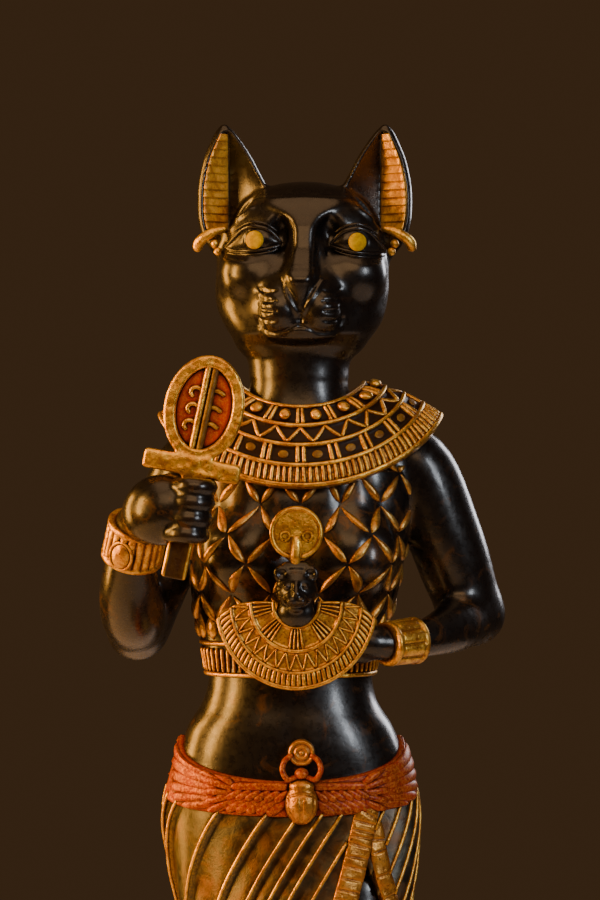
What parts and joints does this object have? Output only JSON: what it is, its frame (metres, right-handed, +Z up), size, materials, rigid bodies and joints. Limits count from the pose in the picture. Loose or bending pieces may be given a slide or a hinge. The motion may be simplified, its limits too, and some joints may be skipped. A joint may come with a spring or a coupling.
{
  "type": "figurine",
  "caption": "Standing cat-headed goddess on a low plinth, cast in one, holding a looped cross and a collar shield at her waist.",
  "frame": {"origin": "centre of the plinth's underside", "axes": "+Z up along the figure, she faces -Y, +X is towards her left hand"},
  "size_m": [0.0773, 0.071, 0.2806],
  "materials": {
    "black_gloss": "black lacquer, glossy, brown where it is rubbed",
    "antique_gold": "antique gold paint with brown wash in the hollows",
    "red_enamel": "orange-red enamel with a gold dry brush",
    "skirt_patina": "pewter and bronze patina, satin"
  },
  "bodies": {
    "root": {"bastet_figurine": "black_gloss"}
  },
  "joints": []
}
